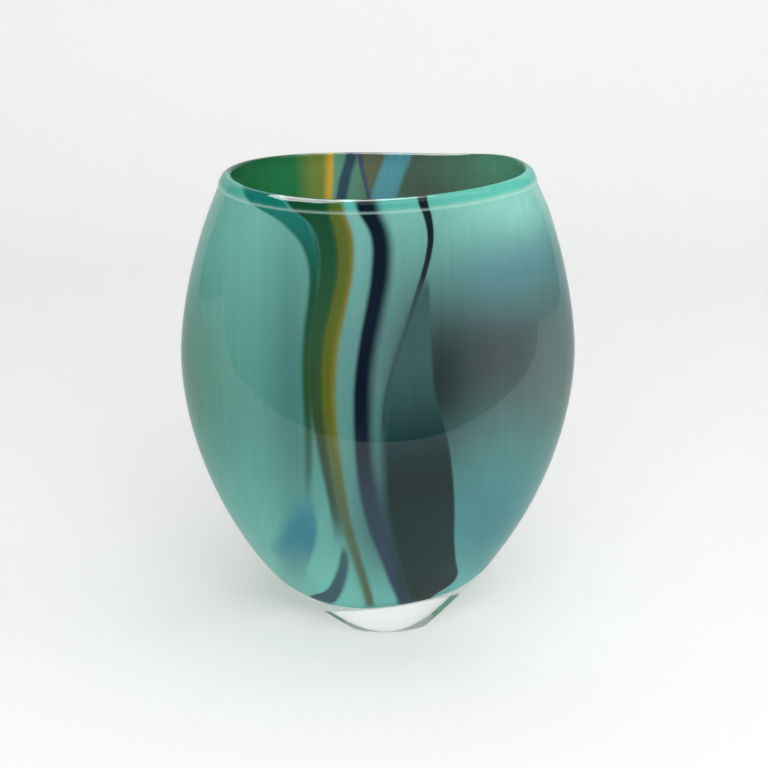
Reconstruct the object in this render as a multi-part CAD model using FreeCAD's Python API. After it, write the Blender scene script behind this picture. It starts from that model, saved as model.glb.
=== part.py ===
import FreeCAD, Part
import math
import os

# A free-blown, flattened art glass vase, in millimetres. +Z is up, +X runs along the wide side
# towards the narrow end of the mouth, and -Y is the front. The origin is on the bench plane,
# under the middle of the body. From outside in, the wall is a clear casing, a thin coloured
# layer and a clear lining. The coloured layer is an aqua ground with ribbons and canes let into
# it, edge to edge. The casing runs solid under the bubble and forms the ground foot.

# Body
HEIGHT = 248.0
HALF_WIDTH = 104.0
WIDEST_HEIGHT = 152.0
UPPER_REACH, UPPER_POWER, UPPER_ROOT = 161.7, 1.69, 0.5
LOWER_REACH, LOWER_POWER, LOWER_ROOT = 165.1, 1.88, 0.70
BODY_DEPTH_RATIO = 0.60
MOUTH_DEPTH_RATIO = 0.73
FOOT_ROUNDNESS = 0.12
LEAN = 0.0055
FOOT_DRIFT, FOOT_TOP = 4.1, 43.0

# Mouth: a pointed egg outline whose two ends stand higher than its long sides
MOUTH_EGG = 0.155
EGG_START = 100.0
END_RISE = 2.4
POINT_RISE = 0.9
SHOULDER_RISE = 2.2
SHOULDER_SWELL = 0.008
SHOULDER_ANGLE = math.radians(33)
SHOULDER_SPREAD = 0.40
RISE_START = 170.0
POINT_PINCH, PINCH_START, PINCH_SPAN = 1.2, 228.0, 14.0
COLLAR_HEIGHT = 241.5
COLLAR_PROUD, COLLAR_RAMP = 0.85, 1.5

# Wall layers, as depths below the outer surface
CASING_DEPTH = 1.6
COLOUR_DEPTH = 2.8
WALL = 4.8

# Bottom of each bubble, at the middle, and how the bottoms tip up towards +X
CASING_FLOOR = 17.0
COLOUR_FLOOR = 19.0
CAVITY_FLOOR = 22.0
FLOOR_SPAN = 7.0
FLOOR_ROUND_POWER = 2.4
FLOOR_LEAST = 0.30
FLOOR_TIP, TIP_TOP = 0.13, 70.0
FLOOR_FLAT = 3.0

# Cold-worked foot: two ground facets that lean forward. Each runs from a point high on the side
# to one on the bench, both given at mid depth.
LEFT_FACET = ((-38.7, 13.0), (-19.2, 0.0))
RIGHT_FACET = ((53.4, 24.3), (29.6, 0.0))
FACET_LEAN = math.radians(18)

RING_POINTS = 28
LIP_STEPS = 4
BEYOND = 150.0

# Colour let into the ground. Each entry is (height, left edge, right edge) along X, from the
# top down. A piece that starts at TOP runs out over the lip. The pieces lie side by side.
TOP = 256.0
FRONT_PIECES = {
    "black_cane": [(TOP, 17, 21.5), (246, 20.7, 24.7), (237, 23.7, 26.9), (226, 25, 27.4),
                   (218, 23.9, 26.1), (209, 21.9, 23.9), (187, 15.7, 17.6), (166, 9, 10.9),
                   (145, 4.2, 6), (130, 3.2, 4.6)],
    "forest_panel": [(206, 24.2, 25.4), (200, 22.3, 26), (187, 18.3, 26.2), (166, 11.6, 27),
                     (145, 6.7, 29.4), (128, 5.5, 34), (99, 6.2, 39), (72, 8.8, 39.8),
                     (50, 13, 41), (36, 15.6, 42), (20, 18.4, 36)],
    "smoke_patch": [(238, 32, 42), (222, 28.8, 70), (208, 27, 88), (187, 27, 96),
                    (166, 27.8, 98), (145, 30.2, 96), (122, 36.8, 84), (104, 39.8, 54)],
    "navy_cane": [(TOP, -17, -8), (246, -9, -1), (242, -5.4, 1.4), (236, -3.1, 3.5),
                  (222, -1.3, 5.7), (208, -2, 4.6), (187, -5.7, 0.5), (166, -9.2, -3.2),
                  (145, -10.5, -4.4), (120, -10.3, -4.2), (103, -9.2, -2.7), (86, -6.8, 0.4),
                  (66, -1.4, 6), (44, 5.8, 12.2), (20, 12.6, 16)],
    "amber_cane": [(TOP, -26, -21), (245, -22.2, -17), (238, -20.3, -14.2), (223, -17.9, -12.7),
                   (208, -18.4, -13.2), (187, -22.9, -17.6), (166, -25.8, -20.6),
                   (145, -26.1, -21.2), (110, -22.6, -18.6), (76, -17.3, -13.9),
                   (44, -10, -7), (20, -4.6, -1.8)],
    "pale_thread": [(TOP, -62, -59.6), (245, -43.2, -41.2), (237, -34.4, -32.8),
                    (227, -30.7, -29.3), (218, -29.2, -28.3), (212, -28.7, -28.1)],
    "green_ribbon": [(TOP, -58.8, -26.8), (245, -40.6, -23), (237, -32.2, -20.9),
                     (227, -28.7, -19), (215, -27.2, -18.6), (208, -27.8, -19.2),
                     (187, -31, -23.6), (166, -33.2, -26.5), (145, -33, -26.8),
                     (125, -30.2, -25.4), (98, -25.4, -21.8), (70, -21.4, -18.2)],
    "teal_ribbon": [(TOP, -86, -62.8), (245, -61.5, -43.8), (237, -48, -35),
                    (227, -38, -31.3), (218, -33.6, -29.9), (205, -32.6, -29.4),
                    (187, -34.6, -31.8), (166, -36.6, -34), (145, -36.6, -34),
                    (122, -35.8, -33.6), (94, -35.8, -34.2)],
    "blue_wisp": [(92, -36.6, -35), (82, -39.4, -33), (66, -46, -32), (52, -50, -34.6),
                  (42, -47, -38)],
    "indigo_curl": [(58, -18.2, -16.6), (48, -19.4, -16.2), (38, -21.8, -17.4),
                    (29, -26.4, -19.4), (23, -34.5, -22), (18.5, -36, -26)],
}
BACK_PIECES = {
    "back_green_ribbon": [(TOP, -82, -39), (246, -76, -37.6), (227, -66, -36.6), (190, -56, -37),
                          (140, -52, -40), (96, -50, -44)],
    "back_amber_cane": [(TOP, -37, -25), (246, -36.3, -24.3), (227, -35.4, -24.8),
                        (190, -35, -27), (140, -32, -27), (96, -26, -22), (50, -18, -15)],
    "back_navy_cane": [(TOP, -14.4, -10.6), (246, -16, -11.4), (227, -20.6, -16.1),
                       (190, -21, -16), (140, -17, -12.5), (90, -14, -9), (40, -9, -5)],
    "back_indigo_thread": [(TOP, -9.8, -7.8), (246, -9.4, -7), (227, -5.2, -3.8),
                           (200, -3.8, -2.6), (160, -5, -4.2)],
    "back_olive_streak": [(TOP, -6.4, 3.4), (246, -6.2, 4), (236, -4.4, 0.8), (226, -3, -1.6)],
    "back_blue_ribbon": [(TOP, 5, 21), (246, 5, 18.4), (236, 2, 14.2), (227, -0.9, 11),
                         (205, 0, 9), (180, 1, 8), (140, 4, 9), (96, 7, 9.5)],
    "back_smoke_patch": [(TOP, 22.6, 70), (246, 19.4, 66), (227, 12, 70), (200, 14, 76),
                         (165, 22, 72), (130, 34, 56)],
}


def clamp(value):
    return min(1.0, max(0.0, value))


def side_line(height):
    """Half width of the body before the collar is added."""
    if height > WIDEST_HEIGHT:
        share = (height - WIDEST_HEIGHT) / UPPER_REACH
        return HALF_WIDTH * (1 - share ** UPPER_POWER) ** UPPER_ROOT
    share = (WIDEST_HEIGHT - height) / LOWER_REACH
    return HALF_WIDTH * (1 - share ** LOWER_POWER) ** LOWER_ROOT


def half_width(height):
    """Half width of the outer surface: the collar stands a little proud of the wall below it."""
    return side_line(height) + COLLAR_PROUD * clamp((height - COLLAR_HEIGHT) / COLLAR_RAMP)


def foot_share(height):
    """1 on the bench, fading to 0 where the foot has run into the body."""
    return clamp((FOOT_TOP - height) / FOOT_TOP) ** 1.5


def depth_ratio(height):
    share = clamp((height - WIDEST_HEIGHT) / (COLLAR_HEIGHT - WIDEST_HEIGHT))
    mouth = (MOUTH_DEPTH_RATIO - BODY_DEPTH_RATIO) * share ** 2
    return BODY_DEPTH_RATIO + mouth + FOOT_ROUNDNESS * foot_share(height)


def slant(height):
    """How much longer a level cut through the wall is than the wall's own thickness."""
    slope = side_line(height + 0.5) - side_line(height - 0.5)
    return math.hypot(1.0, slope)


def axis_x(height):
    """Where the body's own axis stands: it leans a little, and drifts to +X at the foot."""
    return LEAN * height + FOOT_DRIFT * foot_share(height)


def pinch(angle, height):
    """How far the pointed end of the mouth is drawn in."""
    return POINT_PINCH * clamp((height - PINCH_START) / PINCH_SPAN) * (1 + math.cos(angle)) / 2


def floor_rounding(height, floor):
    """1 on the side wall, falling along a round curve to a small disc at the floor."""
    edge = (1 - FLOOR_LEAST ** 2) ** (1 / FLOOR_ROUND_POWER)
    drop = clamp((floor + FLOOR_SPAN - height) / FLOOR_SPAN) * edge
    return (1 - drop ** FLOOR_ROUND_POWER) ** 0.5


def shoulder(angle):
    """1 at the shoulder beside the pointed end of the mouth, fading to 0 around it."""
    return math.exp(-((angle - SHOULDER_ANGLE) / SHOULDER_SPREAD) ** 2)


def lip_rise(angle, height):
    """How far the point at this angle stands above the nominal height."""
    fade = clamp((height - RISE_START) / (HEIGHT - RISE_START)) ** 2
    ends = END_RISE * math.cos(angle) ** 2 + POINT_RISE * math.cos(angle)
    return fade * (ends + SHOULDER_RISE * shoulder(angle))


def floor_tip(height, floor):
    """How much a layer's ring climbs per millimetre of X, so that its bottom tips up."""
    return FLOOR_TIP * clamp((TIP_TOP - height) / (TIP_TOP - floor)) ** 2


def ring(height, inset=0.0, floor=None):
    """A closed outline round the body, drawn in by the inset. It is level if no floor is given.

    A tipped ring takes its size from the body at each point's own height. The lowest ring, which
    carries the flat floor, takes it from one height so that it lies in a plane.
    """
    rounding = 1.0
    climb = 0.0
    follow = 0.0
    if floor is not None:
        rounding = floor_rounding(height, floor)
        climb = floor_tip(height, floor) * half_width(height) * rounding
        follow = clamp((height - floor) / FLOOR_FLAT)
    points = []
    for step in range(RING_POINTS):
        angle = 2 * math.pi * step / RING_POINTS - math.pi
        level = height + climb * math.cos(angle)
        at = height + follow * climb * math.cos(angle)
        width = (half_width(at) - inset * slant(at)) * rounding
        depth = (half_width(at) * depth_ratio(at) - inset * slant(at)) * rounding
        egg = MOUTH_EGG * clamp((at - EGG_START) / (HEIGHT - EGG_START)) ** 2
        rise_share = clamp((at - RISE_START) / (HEIGHT - RISE_START))
        swell = 1 + SHOULDER_SWELL * rise_share * shoulder(angle)
        x = width * swell * math.cos(angle) + axis_x(at) - pinch(angle, at)
        y = depth * swell * math.sin(angle) * (1 - egg * math.cos(angle))
        points.append(FreeCAD.Vector(x, y, level + lip_rise(angle, at)))
    curve = Part.BSplineCurve()
    curve.interpolate(Points=points, PeriodicFlag=True)
    return Part.Wire(curve.toShape())


def body_heights(low, high, count, packing):
    """Heights from low to high, closer together near the bottom."""
    return [low + (high - low) * (step / count) ** packing for step in range(count + 1)]


def skin(rings):
    """The smooth face that runs through the rings."""
    return Part.makeLoft(rings, False, False).Faces


def closed_solid(faces):
    shell = Part.makeShell(faces)
    shell.sewShape()
    solid = Part.makeSolid(Part.makeShell(shell.Faces))
    if solid.Volume < 0:
        solid.reverse()
    return solid


def lip_ring(inset):
    """The ring on the rounded lip that lies at this depth below the outer surface."""
    radius = WALL / 2
    height = HEIGHT - radius + math.sqrt(max(0.0, radius ** 2 - (radius - inset) ** 2))
    return ring(height, inset)


def lip_skin(start, end):
    """The part of the rounded lip between two depths."""
    radius = WALL / 2
    first = math.acos(1 - start / radius)
    last = math.acos(1 - end / radius)
    turns = [first + (last - first) * step / LIP_STEPS for step in range(LIP_STEPS + 1)]
    return skin([lip_ring(radius * (1 - math.cos(turn))) for turn in turns])


def outer_skin():
    """The body wall and the collar above it, as two faces that meet in a crease."""
    body = [ring(height) for height in body_heights(0.0, COLLAR_HEIGHT, 14, 1.4)]
    top = HEIGHT - WALL / 2
    collar = [ring(COLLAR_HEIGHT + (top - COLLAR_HEIGHT) * step / 4) for step in range(5)]
    return skin(body) + skin(collar)


def layer_skin(inset, floor):
    """The surface at one depth in the wall, from its floor to the lip, with the floor disc."""
    heights = body_heights(floor, COLLAR_HEIGHT, 20, 2.6)
    rings = [ring(height, inset, floor) for height in heights]
    upper = [ring(COLLAR_HEIGHT, inset), ring(COLLAR_HEIGHT + 2, inset), lip_ring(inset)]
    return skin(rings) + skin(upper) + [Part.Face(rings[0])]


def facet_cutter(points, outward):
    """The glass ground away outside a plane that runs front to back and leans forward."""
    (high_x, high_z), (low_x, low_z) = points
    across = FreeCAD.Vector(0, math.cos(FACET_LEAN), -math.sin(FACET_LEAN)) * BEYOND
    along = FreeCAD.Vector(low_x - high_x, 0, low_z - high_z).normalize() * BEYOND
    high = FreeCAD.Vector(high_x, 0, high_z) - along - across
    low = FreeCAD.Vector(low_x, 0, low_z) + along - across
    push = FreeCAD.Vector(outward * BEYOND, 0, -BEYOND)
    outline = Part.makePolygon([high, low, low + push, high + push, high])
    return Part.Face(outline).extrude(across * 2)


def edge_curve(stations, side):
    points = [FreeCAD.Vector(station[side], 0, station[0]) for station in stations]
    curve = Part.BSplineCurve()
    curve.interpolate(Points=points)
    return curve.toShape()


def piece_prism(stations, front):
    """A bar with the piece's outline, long enough to pass through one side of the wall."""
    left = edge_curve(stations, 1)
    right = edge_curve(stations, 2)
    ends = []
    for station in (stations[0], stations[-1]):
        low = FreeCAD.Vector(station[1], 0, station[0])
        high = FreeCAD.Vector(station[2], 0, station[0])
        ends.append(Part.makeLine(low, high))
    outline = Part.Wire(Part.__sortEdges__([left, right] + ends))
    reach = -BEYOND if front else BEYOND
    return Part.Face(outline).extrude(FreeCAD.Vector(0, reach, 0))


def build():
    """Every piece of the vase, by name."""
    foot = Part.Face(ring(0.0))
    casing_inside = layer_skin(CASING_DEPTH, CASING_FLOOR)
    colour_inside = layer_skin(COLOUR_DEPTH, COLOUR_FLOOR)
    well = layer_skin(WALL, CAVITY_FLOOR)
    casing = closed_solid(outer_skin() + lip_skin(0, CASING_DEPTH) + casing_inside + [foot])
    ground = closed_solid(lip_skin(CASING_DEPTH, COLOUR_DEPTH) + casing_inside + colour_inside)
    lining = closed_solid(lip_skin(COLOUR_DEPTH, WALL) + colour_inside + well)
    for points, outward in ((LEFT_FACET, -1), (RIGHT_FACET, 1)):
        casing = casing.cut(facet_cutter(points, outward))
    pieces = {"clear_casing": casing, "clear_lining": lining}
    prisms = []
    for table, front in ((FRONT_PIECES, True), (BACK_PIECES, False)):
        for name, stations in table.items():
            prism = piece_prism(stations, front)
            pieces[name] = ground.common(prism)
            prisms.append(prism)
    pieces["aqua_ground"] = ground.cut(prisms)
    return pieces


def export(pieces):
    os.makedirs("parts", exist_ok=True)
    for name, shape in pieces.items():
        solids = shape.Solids
        print(name, shape.isValid(), len(solids), [round(solid.Volume) for solid in solids])
        result = solids[0] if len(solids) == 1 else Part.makeCompound(solids)
        result.exportStep("parts/" + name + ".step")


export(build())
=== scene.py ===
"""The looks of a cased, free-blown art glass vase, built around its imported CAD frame.

From outside in, the wall is a clear casing, a thin layer of coloured pieces let into an aqua
ground, and a clear lining. Lengths are millimetres until a mesh is made, and then metres.
"""
import math

import bmesh
import bpy
import numpy as np
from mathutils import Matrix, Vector


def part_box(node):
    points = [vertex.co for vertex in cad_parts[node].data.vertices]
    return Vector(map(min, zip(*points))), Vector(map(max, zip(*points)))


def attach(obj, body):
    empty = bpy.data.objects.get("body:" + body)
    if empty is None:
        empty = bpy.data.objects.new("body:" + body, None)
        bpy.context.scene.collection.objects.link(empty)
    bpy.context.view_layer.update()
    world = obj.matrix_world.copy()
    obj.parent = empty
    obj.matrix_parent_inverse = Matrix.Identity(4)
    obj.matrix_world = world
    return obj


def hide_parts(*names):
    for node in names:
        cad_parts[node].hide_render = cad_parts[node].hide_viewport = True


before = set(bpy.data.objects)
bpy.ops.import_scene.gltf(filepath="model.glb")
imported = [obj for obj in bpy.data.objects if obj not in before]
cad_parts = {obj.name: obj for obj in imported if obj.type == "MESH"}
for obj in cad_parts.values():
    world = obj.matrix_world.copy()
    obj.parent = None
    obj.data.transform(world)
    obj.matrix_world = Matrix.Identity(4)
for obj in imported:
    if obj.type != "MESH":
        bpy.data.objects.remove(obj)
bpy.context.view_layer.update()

MM = 0.001


def box_mm(node):
    low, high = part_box(node)
    return np.array(low) / MM, np.array(high) / MM


# Sizes read from the frame
CASING_LOW, CASING_HIGH = box_mm("clear_casing")
HEIGHT = box_mm("navy_cane")[1][2]
HALF_WIDTH = (CASING_HIGH[0] - CASING_LOW[0]) / 2

# The form of the body and mouth, as in the design
WIDEST_HEIGHT = 152.0
UPPER_REACH, UPPER_POWER, UPPER_ROOT = 161.7, 1.69, 0.5
LOWER_REACH, LOWER_POWER, LOWER_ROOT = 165.1, 1.88, 0.70
BODY_DEPTH_RATIO, MOUTH_DEPTH_RATIO, FOOT_ROUNDNESS = 0.60, 0.73, 0.12
LEAN = 0.0055
FOOT_DRIFT, FOOT_TOP = 4.1, 43.0
MOUTH_EGG, EGG_START = 0.155, 100.0
END_RISE, POINT_RISE = 2.4, 0.9
SHOULDER_RISE, SHOULDER_SWELL = 2.2, 0.008
SHOULDER_ANGLE, SHOULDER_SPREAD = math.radians(33), 0.40
RISE_START = 170.0
POINT_PINCH, PINCH_START, PINCH_SPAN = 1.2, 228.0, 14.0
COLLAR_HEIGHT, COLLAR_PROUD, COLLAR_RAMP = 241.5, 0.85, 1.5
CASING_DEPTH, COLOUR_DEPTH, WALL = 1.6, 2.8, 4.8
CASING_FLOOR, COLOUR_FLOOR, CAVITY_FLOOR = 17.0, 19.0, 22.0
FLOOR_SPAN, FLOOR_ROUND_POWER, FLOOR_LEAST = 7.0, 2.4, 0.30
FLOOR_TIP, TIP_TOP, FLOOR_FLAT = 0.13, 70.0, 3.0
LEFT_FACET = ((-38.7, 13.0), (-19.2, 0.0))
RIGHT_FACET = ((53.4, 24.3), (29.6, 0.0))
FACET_LEAN = math.radians(18)

# The coloured pieces, in order from left to right on each side of the vase
FRONT = ("blue_wisp", "teal_ribbon", "pale_thread", "green_ribbon", "indigo_curl",
         "amber_cane", "navy_cane", "black_cane", "forest_panel", "smoke_patch")
BACK = ("back_green_ribbon", "back_amber_cane", "back_navy_cane", "back_indigo_thread",
        "back_olive_streak", "back_blue_ribbon", "back_smoke_patch")

# How finely the meshes are cut
RING_STEPS = 240
COLUMN_WIDTH = 2.6
COLOUR_ROWS = 130
WALL_ROWS = 110
LIP_ROWS = 10
LAP = 0.06  # the coloured layer bites this far into the clear glass on each side


# ---------------------------------------------------------------- form of the glass

def clamp(value):
    return np.clip(value, 0.0, 1.0)


def side_line(height):
    above = clamp((height - WIDEST_HEIGHT) / UPPER_REACH)
    below = clamp((WIDEST_HEIGHT - height) / LOWER_REACH)
    upper = HALF_WIDTH * (1 - above ** UPPER_POWER) ** UPPER_ROOT
    lower = HALF_WIDTH * (1 - below ** LOWER_POWER) ** LOWER_ROOT
    return np.where(height > WIDEST_HEIGHT, upper, lower)


def half_width(height):
    return side_line(height) + COLLAR_PROUD * clamp((height - COLLAR_HEIGHT) / COLLAR_RAMP)


def foot_share(height):
    return clamp((FOOT_TOP - height) / FOOT_TOP) ** 1.5


def depth_ratio(height):
    share = clamp((height - WIDEST_HEIGHT) / (COLLAR_HEIGHT - WIDEST_HEIGHT))
    mouth = (MOUTH_DEPTH_RATIO - BODY_DEPTH_RATIO) * share ** 2
    return BODY_DEPTH_RATIO + mouth + FOOT_ROUNDNESS * foot_share(height)


def slant(height):
    return np.hypot(1.0, side_line(height + 0.5) - side_line(height - 0.5))


def axis_x(height):
    return LEAN * height + FOOT_DRIFT * foot_share(height)


def pinch(angle, height):
    return POINT_PINCH * clamp((height - PINCH_START) / PINCH_SPAN) * (1 + np.cos(angle)) / 2


def floor_rounding(height, floor):
    edge = (1 - FLOOR_LEAST ** 2) ** (1 / FLOOR_ROUND_POWER)
    drop = clamp((floor + FLOOR_SPAN - height) / FLOOR_SPAN) * edge
    return (1 - drop ** FLOOR_ROUND_POWER) ** 0.5


def shoulder(angle):
    return np.exp(-((angle - SHOULDER_ANGLE) / SHOULDER_SPREAD) ** 2)


def mouth_fade(height):
    return clamp((height - RISE_START) / (HEIGHT - RISE_START))


def lip_rise(angle, height):
    ends = END_RISE * np.cos(angle) ** 2 + POINT_RISE * np.cos(angle)
    return mouth_fade(height) ** 2 * (ends + SHOULDER_RISE * shoulder(angle))


def swelling(angle, height):
    return 1 + SHOULDER_SWELL * mouth_fade(height) * shoulder(angle)


def levels_at(height, angle, floor):
    """Height of a point of a layer's ring, and the height at which the body gives its size.

    The rings tip up towards +X near the floor.
    """
    if floor is None:
        return height, height
    tip = FLOOR_TIP * clamp((TIP_TOP - height) / (TIP_TOP - floor)) ** 2
    climb = tip * half_width(height) * floor_rounding(height, floor) * np.cos(angle)
    return height + climb, height + climb * clamp((height - floor) / FLOOR_FLAT)


def rounding_at(height, floor):
    return 1.0 if floor is None else floor_rounding(height, floor)


def place(height, angle, inset=0.0, floor=None):
    """Points on the surface at a depth in the wall, as an array of x, y, z in millimetres."""
    height, angle = np.broadcast_arrays(np.asarray(height, float), np.asarray(angle, float))
    rounding = rounding_at(height, floor)
    level, at = levels_at(height, angle, floor)
    width = (half_width(at) - inset * slant(at)) * rounding
    depth = (half_width(at) * depth_ratio(at) - inset * slant(at)) * rounding
    egg = MOUTH_EGG * clamp((at - EGG_START) / (HEIGHT - EGG_START)) ** 2
    swell = swelling(angle, at)
    x = width * swell * np.cos(angle) + axis_x(at) - pinch(angle, at)
    y = depth * swell * np.sin(angle) * (1 - egg * np.cos(angle))
    return np.stack([x, y, level + lip_rise(angle, at)], axis=-1)


def lip_height(inset):
    """Nominal height of the rounded lip at this depth below the outer surface."""
    radius = WALL / 2
    return HEIGHT - radius + math.sqrt(max(0.0, radius ** 2 - (radius - inset) ** 2))


# ---------------------------------------------------------------- mesh helpers

def new_object(name, points, faces, materials, face_material, sharp_angle=math.radians(35)):
    mesh = bpy.data.meshes.new(name)
    mesh.from_pydata([tuple(point) for point in np.asarray(points) * MM], [], faces)
    for material in materials:
        mesh.materials.append(material)
    mesh.polygons.foreach_set("material_index", np.asarray(face_material, dtype=np.int32))
    mesh.polygons.foreach_set("use_smooth", np.ones(len(faces), dtype=bool))
    mesh.validate()
    mesh.update()
    mesh.set_sharp_from_angle(angle=sharp_angle)
    piece = bpy.data.objects.new(name, mesh)
    bpy.context.scene.collection.objects.link(piece)
    return piece


def outward(piece):
    """Makes every face of a closed mesh look outwards."""
    work = bmesh.new()
    work.from_mesh(piece.data)
    bmesh.ops.recalc_face_normals(work, faces=work.faces)
    work.to_mesh(piece.data)
    work.free()
    piece.data.set_sharp_from_angle(angle=math.radians(35))


def eased(low, high, count, power=1.0):
    """Count + 1 heights from low to high, packed towards the low end when power is over 1."""
    return low + (high - low) * np.linspace(0, 1, count + 1) ** power


def ring_faces(rows, steps, first=0):
    faces = []
    for row in range(rows - 1):
        for step in range(steps):
            here = first + row * steps + step
            there = first + row * steps + (step + 1) % steps
            faces.append((here, there, there + steps, here + steps))
    return faces


# ---------------------------------------------------------------- clear casing and lining

def wall_of_revolution(rows, angles):
    """Points for a stack of rings, each given as (height, inset, floor)."""
    rings = [place(height, angles, inset, floor) for height, inset, floor in rows]
    return np.concatenate(rings)


def clear_shell(name, skin_rows, fused_rows, glass, fused, bottom=None):
    """A closed shell: a polished skin that runs into a face fused to the coloured layer."""
    angles = np.linspace(-math.pi, math.pi, RING_STEPS, endpoint=False)
    points = wall_of_revolution(skin_rows + fused_rows, angles)
    count = len(skin_rows) + len(fused_rows)
    faces = ring_faces(count, RING_STEPS)
    kinds = [0] * ((len(skin_rows) - 1) * RING_STEPS)
    kinds += [1] * (len(faces) - len(kinds))
    for row, kind in ((0, 2 if bottom else 0), (count - 1, 1)):
        faces.append(tuple(row * RING_STEPS + step for step in range(RING_STEPS)))
        kinds.append(kind)
    materials = [glass, fused, bottom] if bottom else [glass, fused]
    shell = new_object(name, points, faces, materials, kinds)
    outward(shell)
    return shell


def lip_rows(start, end, count):
    """Rows over the rounded lip, between two depths below the outer surface."""
    radius = WALL / 2
    turns = np.linspace(math.acos(1 - start / radius), math.acos(1 - end / radius), count + 1)
    return [(HEIGHT - radius + radius * math.sin(turn), radius * (1 - math.cos(turn)), None)
            for turn in turns]


def layer_rows(inset, floor, count):
    """Rows of a buried surface, from the lip down to its floor."""
    heights = eased(floor, lip_height(inset), count, 1.5)[::-1]
    return [(height, inset, floor) for height in heights]


def grind(piece, points, outward_x):
    """Cuts one flat ground facet on the foot."""
    (high_x, high_z), (low_x, low_z) = points
    along = Vector((low_x - high_x, 0, low_z - high_z))
    across = Vector((0, math.cos(FACET_LEAN), -math.sin(FACET_LEAN)))
    normal = along.cross(across).normalized()
    if normal.x * outward_x < 0:
        normal = -normal
    work = bmesh.new()
    work.from_mesh(piece.data)
    every = work.verts[:] + work.edges[:] + work.faces[:]
    cut = bmesh.ops.bisect_plane(work, geom=every, dist=1e-6, plane_no=normal, clear_outer=True,
                                 plane_co=Vector((low_x, 0, low_z)) * MM)
    rim = [item for item in cut["geom_cut"] if isinstance(item, bmesh.types.BMEdge)]
    merged = list({vert for edge in rim for vert in edge.verts})
    bmesh.ops.remove_doubles(work, verts=merged, dist=0.15 * MM)
    rim = [edge for edge in work.edges if edge.is_boundary]
    bmesh.ops.edgeloop_fill(work, edges=rim, mat_nr=0)
    bmesh.ops.recalc_face_normals(work, faces=work.faces)
    work.to_mesh(piece.data)
    work.free()
    piece.data.set_sharp_from_angle(angle=math.radians(20))


def build_casing(glass, fused, bottom):
    body = [(height, 0.0, None) for height in eased(0.0, COLLAR_HEIGHT, WALL_ROWS, 1.3)]
    collar = [(height, 0.0, None) for height in eased(COLLAR_HEIGHT, HEIGHT - WALL / 2, 8)[1:-1]]
    skin = body + collar + lip_rows(0.0, CASING_DEPTH, LIP_ROWS)
    fused_rows = layer_rows(CASING_DEPTH, CASING_FLOOR, WALL_ROWS)[1:]
    casing = clear_shell("casing", skin, fused_rows, glass, fused, bottom)
    grind(casing, LEFT_FACET, -1)
    grind(casing, RIGHT_FACET, 1)
    return casing


def build_lining(glass, fused):
    skin = layer_rows(WALL, CAVITY_FLOOR, WALL_ROWS)[::-1][:-1]
    skin += lip_rows(COLOUR_DEPTH, WALL, LIP_ROWS)[::-1]
    fused_rows = layer_rows(COLOUR_DEPTH, COLOUR_FLOOR, WALL_ROWS)[1:]
    return clear_shell("lining", skin, fused_rows, glass, fused)


# ---------------------------------------------------------------- the coloured layer

class Outline:
    """Left and right edges of a coloured piece by height, measured on its CAD solid."""

    def __init__(self, node):
        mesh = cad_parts[node].data
        points = np.array([vertex.co for vertex in mesh.vertices]) / MM
        ends = np.array([edge.vertices for edge in mesh.edges])
        self.low, self.high = points[:, 2].min(), points[:, 2].max()
        self.heights = np.linspace(self.low + 0.4, min(self.high, HEIGHT) - 0.6, 60)
        self.left, self.right = [], []
        first, last = points[ends[:, 0]], points[ends[:, 1]]
        for height in self.heights:
            crossing = (first[:, 2] < height) != (last[:, 2] < height)
            start, end = first[crossing], last[crossing]
            share = (height - start[:, 2]) / (end[:, 2] - start[:, 2])
            x = start[:, 0] + share * (end[:, 0] - start[:, 0])
            self.left.append(x.min())
            self.right.append(x.max())

    def edges(self, height):
        left = np.interp(height, self.heights, self.left)
        return left, np.interp(height, self.heights, self.right)


OUTLINES = {name: Outline(name) for name in FRONT + BACK}


def edge_angles(name, heights, side, inset, floor):
    """Angles of a piece's two edges on every row, and which rows it is present on."""
    outline = OUTLINES[name]
    rounding = rounding_at(heights, floor)
    found = []
    for which in (0, 1):
        angle = np.full_like(heights, side * math.pi / 2)
        for _ in range(6):
            level, at = levels_at(heights, angle, floor)
            spot = level + lip_rise(angle, at)
            across = outline.edges(spot)[which] - axis_x(at) + pinch(angle, at)
            width = (half_width(at) - inset * slant(at)) * rounding
            share = across / (width * swelling(angle, at))
            angle = side * np.arccos(np.clip(share, -0.985, 0.985))
        found.append(angle)
    present = spot >= outline.low - 0.5
    if outline.high < HEIGHT - 6:
        present &= spot <= outline.high + 0.5
    return found[0], found[1], present


def side_breaks(names, heights, side, inset, floor):
    """Where the segments of one side start and end, as angles from the left end to the right.

    On a row where a piece is absent it stays as a segment of no width between its neighbours.
    """
    gap = 0.001
    ends_margin = 0.05
    sign = -side
    starts, ends, presents = [], [], []
    for name in names:
        left, right, present = edge_angles(name, heights, side, inset, floor)
        middle = (left + right) / 2
        starts.append(sign * np.where(present, left, middle))
        ends.append(sign * np.where(present, right, middle))
        presents.append(present)
    bound = np.full_like(heights, -math.pi + ends_margin)
    for index, present in enumerate(presents):
        spot = np.where(present, starts[index], np.maximum(starts[index], bound + gap))
        starts[index] = spot
        ends[index] = np.where(present, ends[index], spot)
        bound = ends[index]
    bound = np.full_like(heights, -ends_margin)
    for index in reversed(range(len(names))):
        present = presents[index]
        spot = np.where(present, ends[index], np.minimum(ends[index], bound - gap))
        ends[index] = spot
        starts[index] = np.where(present, starts[index], spot)
        bound = starts[index]
    breaks = [np.full_like(heights, -math.pi)]
    for start, end in zip(starts, ends):
        breaks += [start, end]
    breaks.append(np.zeros_like(heights))
    return [sign * item for item in breaks], presents


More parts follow.
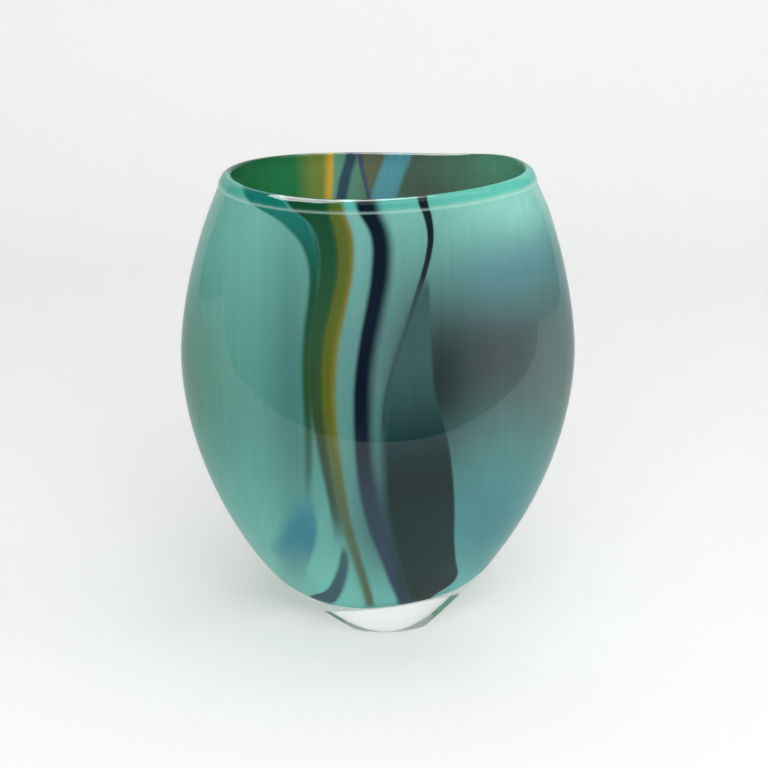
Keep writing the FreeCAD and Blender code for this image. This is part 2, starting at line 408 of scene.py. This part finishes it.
class ColourGrid:
    """One grid of columns right round the vase, split into ground and coloured segments."""

    def __init__(self):
        outer_floor, inner_floor = CASING_FLOOR - LAP, COLOUR_FLOOR + LAP
        outer_inset, inner_inset = CASING_DEPTH - LAP, COLOUR_DEPTH + LAP
        share = np.linspace(0, 1, COLOUR_ROWS) ** 1.5
        surfaces = ((outer_inset, outer_floor), (inner_inset, inner_floor))
        self.segments = None
        sheets = []
        for inset, floor in surfaces:
            heights = floor + (lip_height(inset) - 0.02 - floor) * share
            columns = self.columns(heights, inset, floor)
            points = place(heights[:, None], columns, inset, floor)
            sheets.append(points)
        self.outer, self.inner = sheets
        self.rows, self.width = self.outer.shape[:2]
        self.index_columns()

    def columns(self, heights, inset, floor):
        """The angle of every column on every row, going round from the left end by the front."""
        front, front_here = side_breaks(FRONT, heights, -1, inset, floor)
        back, back_here = side_breaks(BACK, heights, 1, inset, floor)
        back = back[::-1]
        names = [None] + [label for name in FRONT for label in (name, None)]
        names += [None] + [label for name in reversed(BACK) for label in (name, None)]
        lines = front + back[1:]
        present = dict(zip(FRONT, front_here))
        present.update(zip(BACK, back_here))
        if self.segments is None:
            self.segments = []
            start = 0
            for number, name in enumerate(names):
                span = np.abs(lines[number + 1] - lines[number]).max() * HALF_WIDTH * 0.8
                count = max(3, int(math.ceil(span / COLUMN_WIDTH)))
                self.segments.append((name, start, count))
                start += count
            self.present = present
        blocks = []
        for (name, _, count), left, right in zip(self.segments, lines[:-1], lines[1:]):
            share = np.arange(count) / count
            blocks.append(left[:, None] + (right - left)[:, None] * share[None, :])
        return np.concatenate(blocks, axis=1)

    def index_columns(self):
        """Numbers the points, giving one number to all points of a segment of no width."""
        index = np.arange(self.rows * self.width).reshape(self.rows, self.width)
        index = np.concatenate([index, index[:, :1]], axis=1)
        for name, start, count in self.segments:
            if name is None:
                continue
            absent = ~self.present[name]
            index[absent, start:start + count] = index[absent, start + count][:, None]
        self.index = index

    def faces_of(self, wanted):
        """Faces on the outer sheet that belong to one piece, or to the ground for None."""
        faces = []
        for name, start, count in self.segments:
            for row in range(self.rows - 1):
                here = name is not None and self.present[name][row] and self.present[name][row + 1]
                owner = name if here else None
                if owner != wanted:
                    continue
                for column in range(start, start + count):
                    corners = (self.index[row, column], self.index[row, column + 1],
                               self.index[row + 1, column + 1], self.index[row + 1, column])
                    face = tuple(dict.fromkeys(int(corner) for corner in corners))
                    if len(face) > 2:
                        faces.append(face)
        return faces


def build_colour_piece(name, grid, faces, materials, cap_floor=False):
    """A closed solid between the two sheets, with walls along its edges."""
    total = grid.rows * grid.width
    points = np.concatenate([grid.outer.reshape(-1, 3), grid.inner.reshape(-1, 3)])
    seen = {}
    for face in faces:
        for start, end in zip(face, face[1:] + face[:1]):
            seen[(start, end)] = True
    solid = list(faces) + [tuple(total + corner for corner in reversed(face)) for face in faces]
    kinds = [0] * len(solid)
    top = set(int(number) for number in grid.index[-1])
    bottom = set(int(number) for number in grid.index[0])
    for start, end in seen:
        if (end, start) in seen:
            continue
        if cap_floor and start in bottom and end in bottom:
            continue
        solid.append((end, start, total + start, total + end))
        kinds.append(1 if start in top and end in top else 0)
    if cap_floor:
        loop = [int(number) for number in grid.index[0, :-1]]
        loop = list(dict.fromkeys(loop))
        solid += [tuple(reversed(loop)), tuple(total + corner for corner in loop)]
        kinds += [0, 0]
    used = sorted({corner for face in solid for corner in face})
    place_of = {corner: number for number, corner in enumerate(used)}
    solid = [tuple(place_of[corner] for corner in face) for face in solid]
    piece = new_object(name, points[used], solid, materials, kinds)
    outward(piece)
    return piece


# ---------------------------------------------------------------- materials

def srgb(red, green, blue):
    """A colour given as 0 to 255 screen values, as linear light."""
    def linear(value):
        share = value / 255
        return share / 12.92 if share <= 0.04045 else ((share + 0.055) / 1.055) ** 2.4
    return (linear(red), linear(green), linear(blue), 1.0)


class Nodes:
    """Short ways to add and join shader nodes."""

    def __init__(self, tree):
        self.tree = tree

    def add(self, kind, **settings):
        node = self.tree.nodes.new(kind)
        for key, value in settings.items():
            setattr(node, key, value)
        return node

    def join(self, source, target):
        if isinstance(source, bpy.types.NodeSocket):
            self.tree.links.new(source, target)
        else:
            target.default_value = source

    def math(self, operation, first, second=0.0, third=0.0, clamped=False):
        node = self.add("ShaderNodeMath", operation=operation, use_clamp=clamped)
        for value, target in zip((first, second, third), node.inputs):
            self.join(value, target)
        return node.outputs[0]

    def mix(self, share, first, second, blend="MIX"):
        node = self.add("ShaderNodeMix", data_type="RGBA", blend_type=blend)
        node.clamp_factor = True
        self.join(share, node.inputs["Factor"])
        self.join(first, node.inputs["A"])
        self.join(second, node.inputs["B"])
        return node.outputs["Result"]

    def step(self, value, low, high):
        """0 below low, 1 above high and a smooth rise between them."""
        node = self.add("ShaderNodeMapRange", interpolation_type="SMOOTHSTEP", clamp=True)
        for target, item in zip(node.inputs, (value, low, high, 0.0, 1.0)):
            self.join(item, target)
        return node.outputs[0]

    def noise(self, vector, scale, detail=2.0, roughness=0.5):
        node = self.add("ShaderNodeTexNoise", noise_dimensions="3D")
        self.join(vector, node.inputs["Vector"])
        node.inputs["Scale"].default_value = scale
        node.inputs["Detail"].default_value = detail
        node.inputs["Roughness"].default_value = roughness
        return node.outputs["Fac"]

    def stretch(self, vector, scale):
        node = self.add("ShaderNodeMapping")
        self.join(vector, node.inputs["Vector"])
        node.inputs["Scale"].default_value = scale
        return node.outputs[0]

    def curve(self, value, points):
        """A smooth line through (in, out) points, all between 0 and 1."""
        node = self.add("ShaderNodeFloatCurve")
        line = node.mapping.curves[0]
        while len(line.points) < len(points):
            line.points.new(0.5, 0.5)
        for item, place_at in zip(line.points, points):
            item.location = place_at
        node.mapping.update()
        self.join(value, node.inputs["Value"])
        return node.outputs[0]


EDGE_SPAN = 110.0      # edges lie between -110 and +110 mm
TOP_SPAN = 260.0       # heights lie between 0 and 260 mm


def edge_line(nodes, height_share, outline, which):
    """The x of a piece's left (0) or right (1) edge at a height, in millimetres."""
    heights = np.linspace(outline.low + 1, min(outline.high, HEIGHT) - 1, 14)
    edge = outline.edges(heights)[which]
    points = [(height / TOP_SPAN, 0.5 + x / (2 * EDGE_SPAN)) for height, x in zip(heights, edge)]
    points = [(0.0, points[0][1])] + points + [(1.0, points[-1][1])]
    share = nodes.curve(height_share, points)
    return nodes.math("MULTIPLY_ADD", share, 2 * EDGE_SPAN, -EDGE_SPAN)


# The glasses, as they look on screen
AQUA, LOW_AQUA, PALE_AQUA = (120, 180, 170), (120, 190, 180), (150, 200, 190)
SEA_GREEN, RIBBON_SHADE, GREY_SEA = (90, 150, 140), (50, 100, 100), (60, 90, 90)
MIST, LAGOON, STONE = (110, 160, 160), (70, 130, 140), (100, 120, 120)
BRIGHT_TEAL, TEAL, DEEP_TEAL = (20, 120, 110), (50, 110, 100), (20, 80, 60)
FOREST, BACK_GREEN, SAGE = (10, 70, 40), (30, 100, 60), (90, 140, 120)
MOSS, DARK_MOSS, SEA_MOSS = (40, 80, 50), (50, 70, 40), (50, 80, 70)
AMBER, OLD_GOLD, BRIGHT_AMBER = (90, 100, 30), (120, 110, 40), (200, 140, 50)
OLIVE_AMBER, SEA_OLIVE, OLIVE = (100, 110, 50), (80, 100, 70), (90, 90, 70)
INK, NAVY, DEEP_BLUE = (0, 10, 30), (10, 20, 40), (10, 30, 70)
INDIGO, VIOLET, SLATE = (40, 60, 80), (60, 60, 90), (50, 80, 90)
SEA_BLUE, SKY, DUSK = (30, 120, 140), (80, 130, 140), (90, 130, 150)
BLACK, NIGHT, DARK_SMOKE = (10, 10, 20), (0, 40, 40), (30, 40, 40)
SMOKE, BACK_SMOKE = (80, 90, 90), (70, 80, 70)

# How each coloured piece looks: slot, its glasses spread evenly from the top down, how far its left
# and right edges and its ends blur, in millimetres, and how strongly it covers what is under it
LOOKS = {
    "blue_wisp": ("blue_glass", (LAGOON, SEA_BLUE, SKY), 12, 3, 40, 0.85),
    "teal_ribbon": ("teal_glass", (BRIGHT_TEAL, DEEP_TEAL, MOSS, MOSS, TEAL), 3, 3, 26, 0.95),
    "pale_thread": ("pale_glass", (MIST, TEAL, DEEP_TEAL), 1.5, 1.5, 10, 0.9),
    "green_ribbon": ("green_glass", (FOREST, MOSS, DARK_MOSS, SEA_MOSS), 3, 3, 30, 0.97),
    "indigo_curl": ("navy_glass", (SLATE, DEEP_BLUE), 2, 3, 8, 0.85),
    "amber_cane": ("amber_glass", (AMBER, AMBER, AMBER, SEA_OLIVE, SEA_OLIVE), 4, 3, 6, 0.97),
    "navy_cane": ("navy_glass", (INK, NAVY, NAVY, INDIGO, INDIGO), 3, 7, 8, 0.98),
    "black_cane": ("black_glass", (BLACK, DARK_SMOKE, SEA_MOSS, SEA_MOSS), 1, 1, 12, 0.97),
    "forest_panel": ("green_glass", (GREY_SEA, GREY_SEA, NIGHT, NIGHT, DARK_SMOKE), 9, 1.5, 10, 0.97),
    "smoke_patch": ("smoke_glass", (), 0, 0, 0, 0),
    "back_green_ribbon": ("green_glass", (BACK_GREEN, BACK_GREEN), 8, 5, 20, 0.95),
    "back_amber_cane": ("amber_glass", (OLIVE_AMBER, OLIVE_AMBER), 12, 3, 16, 0.95),
    "back_navy_cane": ("navy_glass", (INDIGO, INDIGO), 2, 3, 16, 0.9),
    "back_indigo_thread": ("navy_glass", (VIOLET, VIOLET), 1, 2, 14, 0.8),
    "back_olive_streak": ("olive_glass", (OLIVE, OLIVE), 2, 2, 8, 0.9),
    "back_blue_ribbon": ("blue_glass", (SKY, SKY), 3, 3, 16, 0.9),
    "back_smoke_patch": ("smoke_glass", (), 0, 0, 0, 0),
}
# The ground glass from the top down, and the broad soft pools that lie in it, most of them other glass; the
# first two are painted shade, along the left edge and beside the teal ribbon:
# the middle's x and height, the half width and half height, the glass and how strongly it covers
FRONT_GROUND = (AQUA, SEA_GREEN, LOW_AQUA)
FRONT_POOLS = (
    # painted shade along the left edge of the body
    (-94, 150, 15, 34, SAGE, 0.8),
    # painted shade beside the teal ribbon
    (-42, 150, 13, 90, RIBBON_SHADE, 0.6),
    (0, 190, 24, 60, MIST, 0.7),
    (6, 80, 22, 45, SLATE, 0.9),
    (56, 74, 34, 48, LAGOON, 0.9),
    (62, 164, 60, 44, SMOKE, 1.0),
    (30, 154, 22, 46, DARK_SMOKE, 0.85),
    (70, 210, 30, 18, DUSK, 0.6),
    (94, 150, 16, 40, STONE, 0.6),
    (76, 242, 32, 20, PALE_AQUA, 0.85),
)
BACK_GROUND = (SAGE, SAGE)
BACK_POOLS = ((22, 215, 40, 90, BACK_SMOKE, 0.95),)
LIGHT_SHARE = 0.75         # share of the light on the front wall that comes back to the eye
INNER_SHARE = 0.45         # the same for the back wall, seen through the mouth

PALE_LINE = 31.5           # the colour stops short of the floor of the bubble, at this height; below it the layer is painted near white, painted light for the bright paper seen through the clear foot
PALE_TIP = 0.05            # rising towards the right
PALE_ENDS = 0.09           # rising towards both ends
PALE_DIP = 0.55            # and dipping at the front and back
# painted light: the near white that stands for the lit paper seen through the clear foot
FOOT_PAINTED_LIGHT = (242, 244, 242)


# Canes that glow along their right edge: the glass of the glow and its width in millimetres
GLOWS = {"amber_cane": (OLD_GOLD, 2.6), "back_amber_cane": (BRIGHT_AMBER, 6.0)}

# A painted highlight along the collar's crease and painted shade in the roll of the lip above it, on the
# front wall only
CREASE_CURVE, CREASE_TILT = 0.00033, 0.0095    # how the collar's crease rises away from the middle
CREASE_HIGHLIGHT = (210, 240, 230)
ROLL_SHADE = (0.5, 0.92, 0.88, 1.0)             # painted shade: what the colour in the roll of the lip is multiplied by, darker and towards teal


def seen_as(colour, share):
    """The glass colour that looks like this screen colour when it sends back this share of light."""
    return tuple(min(0.95, value / share) for value in srgb(*colour)[:3]) + (1.0,)


def colour_stops(nodes, share, glasses, low, high, light_share):
    """Runs through the glasses of a piece, spread evenly from its top down."""
    node = nodes.add("ShaderNodeValToRGB")
    ramp = node.color_ramp
    ramp.interpolation = "CARDINAL" if len(glasses) > 2 else "LINEAR"
    while len(ramp.elements) < len(glasses):
        ramp.elements.new(0.5)
    heights = np.linspace(low, high, len(glasses))
    for item, height, glass in zip(ramp.elements, heights, reversed(glasses)):
        item.position = height / TOP_SPAN
        item.color = seen_as(glass, light_share)
    nodes.join(share, node.inputs[0])
    return node.outputs[0]


def ground(nodes, glasses, pools, x, z, share, light_share):
    """The ground glass from the top down, with soft pools in it: most are other glass, some are painted
    shade.
    """
    colour = colour_stops(nodes, share, glasses, CAVITY_FLOOR, HEIGHT, light_share)
    for middle_x, middle_z, half_width, half_height, glass, strength in pools:
        across = nodes.math("DIVIDE", nodes.math("SUBTRACT", x, middle_x), half_width)
        up = nodes.math("DIVIDE", nodes.math("SUBTRACT", z, middle_z), half_height)
        spread = nodes.math("ADD", nodes.math("MULTIPLY", across, across), nodes.math("MULTIPLY", up, up))
        fade = nodes.math("EXPONENT", nodes.math("MULTIPLY", spread, -1.0))
        colour = nodes.mix(nodes.math("MULTIPLY", fade, strength), colour, seen_as(glass, light_share))
    return colour


def lip_highlight_and_shade(nodes, colour, x, z):
    """A painted highlight along the collar's crease, and painted shade that deepens the colour in the roll of
    the lip above it.
    """
    rise = nodes.math("MULTIPLY", x, nodes.math("MULTIPLY_ADD", x, CREASE_CURVE, CREASE_TILT))
    past = nodes.math("SUBTRACT", nodes.math("SUBTRACT", z, COLLAR_HEIGHT), rise)
    # painted shade: the roll of the lip is darkened and tinted towards teal
    deeper = nodes.mix(1.0, colour, ROLL_SHADE, "MULTIPLY")
    colour = nodes.mix(nodes.step(past, 0.8, 2.6), colour, deeper)
    # painted highlight: a pale line along the crease
    away = nodes.math("ABSOLUTE", nodes.math("SUBTRACT", past, 0.2))
    crease = nodes.math("MULTIPLY", nodes.step(away, 1.1, 0.2), 0.4)
    return nodes.mix(crease, colour, srgb(*CREASE_HIGHLIGHT))


def colour_field():
    """One colour for every point of the coloured layer, shared by all of its pieces."""
    tree = bpy.data.node_groups.new("colour_field", "ShaderNodeTree")
    tree.interface.new_socket("Color", in_out="OUTPUT", socket_type="NodeSocketColor")
    nodes = Nodes(tree)
    output = nodes.add("NodeGroupOutput")
    spot = nodes.add("ShaderNodeTexCoord").outputs["Object"]
    in_mm = nodes.add("ShaderNodeVectorMath", operation="SCALE")
    nodes.join(spot, in_mm.inputs[0])
    in_mm.inputs["Scale"].default_value = 1 / MM
    split = nodes.add("ShaderNodeSeparateXYZ")
    nodes.join(in_mm.outputs[0], split.inputs[0])
    straight_x, y, z = split.outputs
    drift = nodes.noise(nodes.stretch(in_mm.outputs[0], (0.05, 0.05, 0.012)), 1.0, 1.0)
    x = nodes.math("ADD", straight_x, nodes.math("MULTIPLY_ADD", drift, 3.0, -1.5))
    share = nodes.math("DIVIDE", z, TOP_SPAN)

    front = ground(nodes, FRONT_GROUND, FRONT_POOLS, x, z, share, LIGHT_SHARE)
    front = cover(nodes, front, FRONT, x, z, share, LIGHT_SHARE)
    front = lip_highlight_and_shade(nodes, front, straight_x, z)
    back = ground(nodes, BACK_GROUND, BACK_POOLS, x, z, share, INNER_SHARE)
    back = cover(nodes, back, BACK, x, z, share, INNER_SHARE)
    colour = nodes.mix(nodes.step(y, -3, 3), front, back)

    streaks = nodes.noise(nodes.stretch(in_mm.outputs[0], (0.35, 0.2, 0.012)), 1.0, 3.0)
    clouds = nodes.noise(nodes.stretch(in_mm.outputs[0], (0.03, 0.03, 0.015)), 1.0, 2.0)
    shade = nodes.math("ADD", nodes.math("MULTIPLY_ADD", streaks, 0.2, -0.1),
                       nodes.math("MULTIPLY_ADD", clouds, 0.16, -0.08))
    colour = nodes.mix(1.0, colour, tone(nodes, shade), "MULTIPLY")
    # below the pale line the layer is painted near white: painted light for the clear foot
    edge = nodes.math("MULTIPLY_ADD", straight_x, PALE_TIP, PALE_LINE)
    edge = nodes.math("MULTIPLY_ADD", nodes.math("ABSOLUTE", straight_x), PALE_ENDS, edge)
    edge = nodes.math("MULTIPLY_ADD", nodes.math("ABSOLUTE", y), -PALE_DIP, edge)
    above = nodes.math("SUBTRACT", z, edge)
    colour = nodes.mix(nodes.step(above, 0.4, -0.4), colour, srgb(*FOOT_PAINTED_LIGHT))
    nodes.join(colour, output.inputs[0])
    return tree


def tone(nodes, shade):
    """A grey that darkens or lightens what it multiplies by this share."""
    level = nodes.math("ADD", shade, 1.0)
    joined = nodes.add("ShaderNodeCombineColor")
    for target in joined.inputs:
        nodes.join(level, target)
    return joined.outputs[0]


def cover(nodes, colour, names, x, z, share, light_share):
    """Lays the pieces of one side over the ground colour, with their blurred edges."""
    for name in names:
        _, glasses, soft_left, soft_right, soft_end, strength = LOOKS[name]
        if not glasses:
            continue
        outline = OUTLINES[name]
        left = edge_line(nodes, share, outline, 0)
        right = edge_line(nodes, share, outline, 1)
        past_left = nodes.math("SUBTRACT", x, left)
        past_right = nodes.math("SUBTRACT", right, x)
        mask = nodes.math("MULTIPLY", nodes.step(past_left, -0.8 * soft_left, 0.2 * soft_left),
                          nodes.step(past_right, -0.8 * soft_right, 0.2 * soft_right))
        ends = nodes.step(z, outline.low - soft_end / 2, outline.low + soft_end / 2)
        if outline.high < HEIGHT - 6:
            upper = nodes.step(z, outline.high + soft_end / 2, outline.high - soft_end / 2)
            ends = nodes.math("MULTIPLY", ends, upper)
        mask = nodes.math("MULTIPLY", nodes.math("MULTIPLY", mask, ends), strength)
        high = min(outline.high, HEIGHT)
        own = colour_stops(nodes, share, glasses, outline.low, high, light_share)
        if name in GLOWS:
            glow, width = GLOWS[name]
            lit = nodes.math("MULTIPLY", nodes.step(past_right, width, 0.0), nodes.step(z, 80, 150))
            own = nodes.mix(lit, own, seen_as(glow, light_share))
        colour = nodes.mix(mask, colour, own)
    return colour


def new_material(name):
    material = bpy.data.materials.new(name)
    material.use_nodes = True
    material.node_tree.nodes.clear()
    return material, Nodes(material.node_tree)


def coloured_glass(name, field, polished):
    """Milky coloured glass. Its polished form is for the band that shows at the lip."""
    material, nodes = new_material(name + ("_polished" if polished else ""))
    output = nodes.add("ShaderNodeOutputMaterial")
    group = nodes.add("ShaderNodeGroup", node_tree=field)
    body = nodes.add("ShaderNodeBsdfPrincipled")
    nodes.join(group.outputs[0], body.inputs["Base Color"])
    body.inputs["Roughness"].default_value = 0.06 if polished else 0.5
    body.inputs["Specular IOR Level"].default_value = 0.5 if polished else 0.0
    glow = nodes.add("ShaderNodeBsdfTranslucent")
    nodes.join(group.outputs[0], glow.inputs["Color"])
    blend = nodes.add("ShaderNodeMixShader")
    blend.inputs[0].default_value = TRANSLUCENCY
    nodes.join(body.outputs[0], blend.inputs[1])
    nodes.join(glow.outputs[0], blend.inputs[2])
    through = nodes.add("ShaderNodeBsdfTransparent")
    nodes.join(group.outputs[0], through.inputs["Color"])
    path = nodes.add("ShaderNodeLightPath")
    lets_through = nodes.add("ShaderNodeMixShader")
    nodes.join(nodes.math("MULTIPLY", path.outputs["Is Shadow Ray"], PASSING_LIGHT),
               lets_through.inputs[0])
    nodes.join(blend.outputs[0], lets_through.inputs[1])
    nodes.join(through.outputs[0], lets_through.inputs[2])
    nodes.join(lets_through.outputs[0], output.inputs[0])
    return material


TRANSLUCENCY = 0.35
PASSING_LIGHT = 0.75       # share of lamp light that goes on through a coloured wall
GLASS_IOR = 1.5
SHEEN = 0.85                # how strongly the outside mirrors its surroundings


def clear_glass():
    """Polished clear glass with a faint hand-worked ripple. Lamp light passes straight through."""
    material, nodes = new_material("clear_glass")
    output = nodes.add("ShaderNodeOutputMaterial")
    bent = nodes.add("ShaderNodeBsdfRefraction")
    bent.inputs["Color"].default_value = (0.98, 0.995, 0.99, 1)
    bent.inputs["IOR"].default_value = GLASS_IOR
    bent.inputs["Roughness"].default_value = 0.0
    mirrored = nodes.add("ShaderNodeBsdfGlossy")
    mirrored.inputs["Roughness"].default_value = 0.0
    fresnel = nodes.add("ShaderNodeFresnel")
    fresnel.inputs["IOR"].default_value = GLASS_IOR
    spot = nodes.add("ShaderNodeTexCoord").outputs["Object"]
    ripple = nodes.noise(spot, 22.0, 1.0)
    bump = nodes.add("ShaderNodeBump")
    bump.inputs["Strength"].default_value = 0.25
    bump.inputs["Distance"].default_value = 0.0006
    nodes.join(ripple, bump.inputs["Height"])
    for node in (bent, mirrored, fresnel):
        nodes.join(bump.outputs[0], node.inputs["Normal"])
    inside = nodes.add("ShaderNodeNewGeometry").outputs["Backfacing"]
    sheen = nodes.math("MULTIPLY_ADD", inside, 1 - SHEEN, SHEEN)
    glass = nodes.add("ShaderNodeMixShader")
    nodes.join(nodes.math("MULTIPLY", fresnel.outputs[0], sheen), glass.inputs[0])
    nodes.join(bent.outputs[0], glass.inputs[1])
    nodes.join(mirrored.outputs[0], glass.inputs[2])
    through = nodes.add("ShaderNodeBsdfTransparent")
    through.inputs["Color"].default_value = (0.97, 0.985, 0.98, 1)
    path = nodes.add("ShaderNodeLightPath")
    share = nodes.math("MAXIMUM", path.outputs["Is Shadow Ray"], path.outputs["Is Diffuse Ray"])
    blend = nodes.add("ShaderNodeMixShader")
    nodes.join(share, blend.inputs[0])
    nodes.join(glass.outputs[0], blend.inputs[1])
    nodes.join(through.outputs[0], blend.inputs[2])
    nodes.join(blend.outputs[0], output.inputs[0])
    return material


def fused_face():
    """Where clear glass meets coloured glass there is no surface to see."""
    material, nodes = new_material("fused_face")
    output = nodes.add("ShaderNodeOutputMaterial")
    through = nodes.add("ShaderNodeBsdfTransparent")
    nodes.join(through.outputs[0], output.inputs[0])
    return material


def painted_glow_bottom():
    """The ground bottom is matt; it is given a painted glow, an emission that stands in for the light the
    clear foot gathers.
    """
    material, nodes = new_material("painted_glow_bottom")
    output = nodes.add("ShaderNodeOutputMaterial")
    glow = nodes.add("ShaderNodeEmission")
    glow.inputs["Color"].default_value = (0.80, 0.81, 0.80, 1)
    nodes.join(glow.outputs[0], output.inputs[0])
    return material


def build_vase():
    glass, fused = clear_glass(), fused_face()
    casing = build_casing(glass, fused, painted_glow_bottom())
    lining = build_lining(glass, fused)
    for piece, node in ((casing, "clear_casing"), (lining, "clear_lining")):
        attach(piece, "root")
        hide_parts(node)
    field = colour_field()
    skins = {}
    grid = ColourGrid()
    for name in (None,) + FRONT + BACK:
        slot = "aqua_glass" if name is None else LOOKS[name][0]
        if slot not in skins:
            skins[slot] = [coloured_glass(slot, field, False), coloured_glass(slot, field, True)]
        node = name or "aqua_ground"
        faces = grid.faces_of(name)
        piece = build_colour_piece("visual_" + node, grid, faces, skins[slot], name is None)
        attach(piece, "root")
        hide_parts(node)


# ---------------------------------------------------------------- studio and camera

def sweep_material():
    material, nodes = new_material("studio_paper")
    output = nodes.add("ShaderNodeOutputMaterial")
    paper = nodes.add("ShaderNodeBsdfDiffuse")
    paper.inputs["Color"].default_value = (0.86, 0.865, 0.86, 1)
    nodes.join(paper.outputs[0], output.inputs[0])
    return material


def build_sweep():
    """White paper that lies under the vase and curves up behind it."""
    front_edge, turn, radius, top, half = -0.26, 0.75, 0.5, 1.6, 1.6
    outline = [(front_edge, 0.0), (0.3, 0.0)]
    for step in range(13):
        angle = math.radians(90 * step / 12)
        outline.append((turn + radius * math.sin(angle), radius * (1 - math.cos(angle))))
    outline.append((turn + radius, top))
    points = [(x, y, z - 0.00005) for y, z in outline for x in (-half, half)]
    faces = [(2 * row, 2 * row + 1, 2 * row + 3, 2 * row + 2) for row in range(len(outline) - 1)]
    mesh = bpy.data.meshes.new("studio_sweep")
    mesh.from_pydata(points, [], faces)
    mesh.polygons.foreach_set("use_smooth", np.ones(len(faces), dtype=bool))
    mesh.materials.append(sweep_material())
    sweep = bpy.data.objects.new("studio_sweep", mesh)
    bpy.context.scene.collection.objects.link(sweep)


def area_lamp(name, place_at, aim, size, power, visible=True):
    lamp = bpy.data.lights.new(name, "AREA")
    lamp.shape = "RECTANGLE"
    lamp.size, lamp.size_y = size
    lamp.energy = power
    holder = bpy.data.objects.new(name, lamp)
    holder.location = place_at
    holder.rotation_euler = (Vector(aim) - Vector(place_at)).to_track_quat("-Z", "Y").to_euler()
    holder.visible_glossy = visible
    bpy.context.scene.collection.objects.link(holder)
    return holder


ROOM_LIGHT = 1.12          # the studio walls give a soft light from every side
ROOM_MIRRORED = 0.15       # but are dim where the polished glass mirrors them


def build_studio():
    build_sweep()
    area_lamp("top_softbox", (0.35, -0.45, 1.5), (0, -0.1, 0), (1.8, 1.4), 10.5)
    area_lamp("front_fill", (0.2, -2.2, 1.3), (0, 0, 0.12), (2.2, 1.6), 36, visible=False)
    glint = area_lamp("glint_box", (-0.3, 0.15, 1.25), (0, 0, 0.25), (1.5, 0.6), 36)
    glint.visible_diffuse = False
    world = bpy.data.worlds.new("studio_room")
    world.use_nodes = True
    nodes = Nodes(world.node_tree)
    room = world.node_tree.nodes["Background"]
    room.inputs["Color"].default_value = (0.5, 0.504, 0.504, 1)
    mirrored = nodes.add("ShaderNodeLightPath").outputs["Is Glossy Ray"]
    strength = nodes.math("MULTIPLY_ADD", mirrored, ROOM_MIRRORED - ROOM_LIGHT, ROOM_LIGHT)
    nodes.join(strength, room.inputs["Strength"])
    bpy.context.scene.world = world


def build_camera():
    """The camera stands 1.2 m away, 18 degrees above the middle of the vase."""
    distance, elevation = 1.2, math.radians(18)
    middle = Vector((0, 0, 0.125))
    aim_right, aim_up = 4.07 * MM, 9.23 * MM    # past the middle, so that the vase sits a little low and left
    forward = Vector((0, math.cos(elevation), -math.sin(elevation)))
    upward = Vector((0, math.sin(elevation), math.cos(elevation)))
    camera = bpy.data.cameras.new("camera")
    camera.sensor_width = 36.0
    camera.lens = 105.68
    camera.clip_start = 0.05
    holder = bpy.data.objects.new("camera", camera)
    holder.location = middle - forward * distance
    aim = middle + upward * aim_up + Vector((aim_right, 0, 0))
    holder.rotation_euler = (aim - holder.location).to_track_quat("-Z", "Y").to_euler()
    bpy.context.scene.collection.objects.link(holder)
    bpy.context.scene.camera = holder


def set_light_paths():
    scene = bpy.context.scene
    scene.view_settings.view_transform = "Standard"
    scene.cycles.use_denoising = True
    scene.cycles.denoising_prefilter = "ACCURATE"
    scene.cycles.denoising_input_passes = "RGB_ALBEDO"
    scene.cycles.max_bounces = 16
    scene.cycles.transmission_bounces = 16
    scene.cycles.transparent_max_bounces = 24
    scene.cycles.caustics_refractive = False
    scene.cycles.caustics_reflective = False


build_vase()
build_studio()
build_camera()
set_light_paths()
